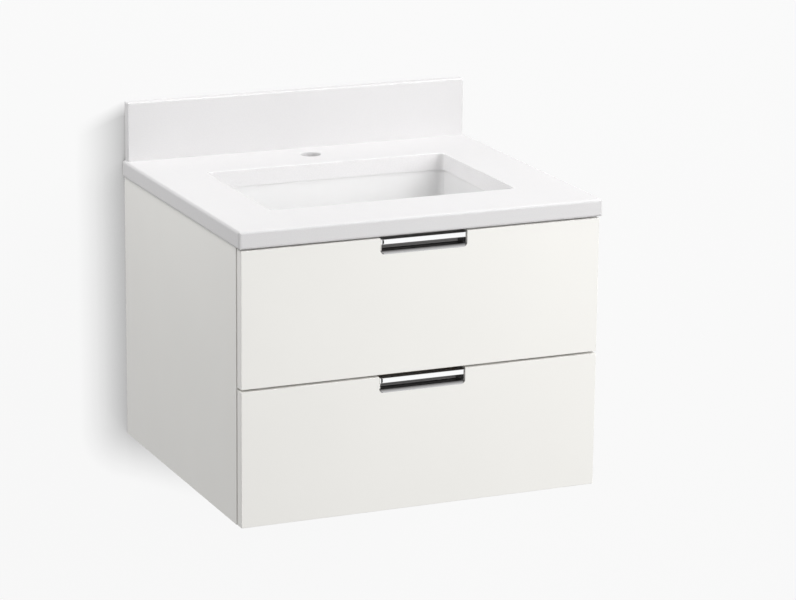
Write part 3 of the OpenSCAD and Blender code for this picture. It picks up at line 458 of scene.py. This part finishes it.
def chrome(name):
    """Polished plate over a casting. In the finger recess, on faces that look up and over the sill it is
    rougher, and painted a dark grey as painted shade.
    """
    low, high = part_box(name)
    sill_top, sill_foot = high.z - SILL_TOP_DROP, high.z - SILL_FOOT_DROP
    f = Finish(name + "_chrome", CHROME, 0.06, 1.0)
    x, y, z = f.parts(f.place)
    depth = f.ramp(y, low.y + RECESS_START, low.y + RECESS_START + RECESS_BLEND)
    left_end = f.ramp(x, low.x + END_SKIN, low.x + 2 * END_SKIN)
    right_end = f.ramp(x, high.x - END_SKIN, high.x - 2 * END_SKIN)
    inside = f.math("MULTIPLY", depth, f.math("MULTIPLY", left_end, right_end))
    shelf = f.ramp(f.parts(f.true_normal())[Z], *SHELF_TILT)
    sill = f.ramp(z, sill_foot, sill_top, *SILL_DULLNESS_AND_SHADE)
    lip = f.math("MULTIPLY", sill, f.ramp(z, sill_top + BAR_MARGIN, sill_top))
    # painted shade, with more roughness: the recess, faces that look up and the sill
    dull_and_shade = f.math("MAXIMUM", f.math("MAXIMUM", inside, shelf), lip)
    f.colour(f.between(dull_and_shade, CHROME, SHADED_DULL_PLATE, 0, 1))
    smears = f.spread(f.noise(scale=80.0, detail=3), 0.0, 0.07)
    f.roughness(f.math("ADD", smears, f.spread(dull_and_shade, 0.04, 0.34)))
    f.bump(f.noise(scale=60.0, detail=1), strength=0.03, distance=0.0003)
    return f.material


def galvanised():
    """Rolled galvanised sheet: patches of spangle, and draw lines along the rolling direction."""
    f = Finish("galvanised", (0.60, 0.61, 0.63), 0.36, 1.0)
    cells = f.node("ShaderNodeTexVoronoi")
    cells.inputs["Scale"].default_value = 220
    f.link(f.place, cells.inputs["Vector"])
    f.colour(f.tinted(cells.outputs["Color"], 0.86, 1.1))
    f.roughness(f.spread(cells.outputs["Distance"], 0.30, 0.45))
    f.bump(f.noise(scale=9.0, detail=3, place=f.stretched((90, 1, 90))), strength=0.08, distance=0.0002)
    return f.material


def plated_steel():
    """Zinc-plated small parts: a bright, slightly yellow grey, finely mottled."""
    f = Finish("plated_steel", (0.62, 0.62, 0.61), 0.32, 1.0)
    f.colour(f.tinted(f.noise(scale=160.0, detail=3), 0.9, 1.06))
    f.roughness(f.spread(f.noise(scale=300.0, detail=3), 0.24, 0.42))
    f.bump(f.noise(scale=520.0, detail=2), strength=0.06, distance=0.0001)
    return f.material


def cast_zinc():
    """Bare zinc casting: a matt, pebbled grey."""
    f = Finish("cast_zinc", (0.46, 0.46, 0.47), 0.5, 0.9)
    f.colour(f.tinted(f.noise(scale=260.0, detail=3), 0.88, 1.08))
    f.bump(f.noise(scale=700.0, detail=2), strength=0.15, distance=0.0002)
    return f.material


def moulded(name, base):
    """Moulded plastic with a fine spark-eroded texture."""
    f = Finish(name, base, 0.46)
    f.colour(f.tinted(f.noise(scale=60.0, detail=2), 0.96, 1.04))
    f.roughness(f.spread(f.noise(scale=200.0, detail=2), 0.40, 0.54))
    f.bump(f.noise(scale=1500.0, detail=2), strength=0.18, distance=0.0001)
    return f.material


def silicone(name, base, clear):
    """Silicone: soft and slightly milky."""
    f = Finish(name, base, 0.28, Transmission_Weight=clear, IOR=1.41)
    f.colour(f.tinted(f.noise(scale=50.0, detail=2), 0.96, 1.0))
    f.bump(f.noise(scale=300.0, detail=2), strength=0.08, distance=0.0001)
    return f.material


PLY_T = 0.0015             # thickness of one veneer
GRAIN_ALONG = 1.6          # the pattern's scale along the grain, and across it
GRAIN_ACROSS = 26.0
GLUE_LINE = (0.04, 0.10)   # where a glue line starts and ends to fade, as shares of a veneer
FACE_TILT = 0.7            # a surface whose normal has more than this across the plies is a face


def birch(name, grain_axis, ply_axis):
    """Birch plywood: long grain on its faces, and the stripes of its veneers on the edges."""
    pale, dark, glue = (0.76, 0.62, 0.43), (0.62, 0.47, 0.29), (0.45, 0.31, 0.18)
    f = Finish(name, pale, 0.36, Coat_Weight=0.15, Coat_Roughness=0.25)
    scale = [GRAIN_ACROSS] * 3
    scale[grain_axis] = GRAIN_ALONG
    grain = f.stretched(scale)
    figure = f.noise(scale=1.0, detail=5, place=grain, distortion=1.2)
    pores = f.noise(scale=22.0, detail=2, place=grain)
    specks = f.between(pores, (0.86, 0.82, 0.76), (1, 1, 1), low=0.36, high=0.46)
    veneer = f.between(figure, dark, pale, low=0.32, high=0.62)
    face = f.mix_colours(veneer, specks, how="MULTIPLY")

    layer = f.math("MULTIPLY", f.parts(f.place)[ply_axis], 1 / PLY_T)
    stripe = f.between(f.math("PINGPONG", layer, 1.0), dark, pale, low=0.42, high=0.58)
    glued = f.between(f.math("PINGPONG", layer, 0.5), (1, 1, 1), (0, 0, 0), *GLUE_LINE)
    edge = f.mix_colours(stripe, (*glue, 1), glued)

    across = f.math("ABSOLUTE", f.parts(f.true_normal())[ply_axis])
    f.colour(f.mix_colours(edge, face, f.math("GREATER_THAN", across, FACE_TILT)))
    f.bump(pores, strength=0.12, distance=0.0002)
    return f.material


# ---------------------------------------------------------------- which node gets which finish

def dress(material, *names):
    """Gives the material to these CAD nodes."""
    for name in names:
        obj = NODES[name]
        if not obj.material_slots:
            obj.data.materials.append(material)
        for slot in obj.material_slots:
            slot.material = material


ROWS = ("upper", "lower")
SIDES = ("left", "right")


def dress_all():
    paint, plated, rolled = lacquer(), plated_steel(), galvanised()
    housing = moulded("grey_plastic", (0.42, 0.43, 0.44))
    lever = moulded("dark_plastic", (0.10, 0.105, 0.115))
    side_ply = birch("birch_sides", grain_axis=Y, ply_axis=X)
    cross_ply = birch("birch_ends", grain_axis=X, ply_axis=Y)
    floor_ply = birch("birch_floors", grain_axis=X, ply_axis=Z)
    dress(paint, "left_side_panel", "right_side_panel", "bottom_panel", "front_top_rail")
    dress(foil_board(), "hanging_rail", "lower_back_rail")
    dress(stone(), "vanity_top", "backsplash")
    dress(glaze(), "undermount_sink")
    dress(silicone("white_silicone", (0.86, 0.86, 0.86), clear=0.0), "sink_seal")
    dress(silicone("clear_silicone", (0.78, 0.80, 0.80), clear=0.35), "front_bumpers")
    dress(cast_zinc(), "cam_fittings")
    dress(plated, "sink_clips", "top_brackets", "carcass_screws")
    dress(housing, "upper_drawer_trap_surround")
    dress(cross_ply, "upper_drawer_left_back", "upper_drawer_right_back", "lower_drawer_back")
    for row in ROWS:
        pull = f"{row}_drawer_pull"
        dress(chrome(pull), pull)
        dress(paint, f"{row}_drawer_front")
        dress(plated, f"{row}_drawer_screws")
        dress(housing, f"{row}_drawer_clip_housings")
        dress(cross_ply, f"{row}_drawer_inner_front")
        dress(floor_ply, f"{row}_drawer_bottom")
        for side in SIDES:
            dress(side_ply, f"{row}_drawer_{side}_side")
            dress(lever, f"{row}_{side}_clip_lever")
            dress(rolled, *(f"{row}_{side}_runner_{part}" for part in ("rail", "slide", "carriage")))
            dress(plated, *(f"{row}_{side}_{level}_ball_cage" for level in ROWS))


# ---------------------------------------------------------------- the scene

make_camera()
make_world()
make_stage()
make_flag()
for lamp_name, (lamp_place, lamp_size, lamp_power) in LAMPS.items():
    make_lamp(lamp_name, lamp_place, lamp_size, lamp_power)
dress_all()
bpy.context.scene.view_settings.view_transform = "Standard"
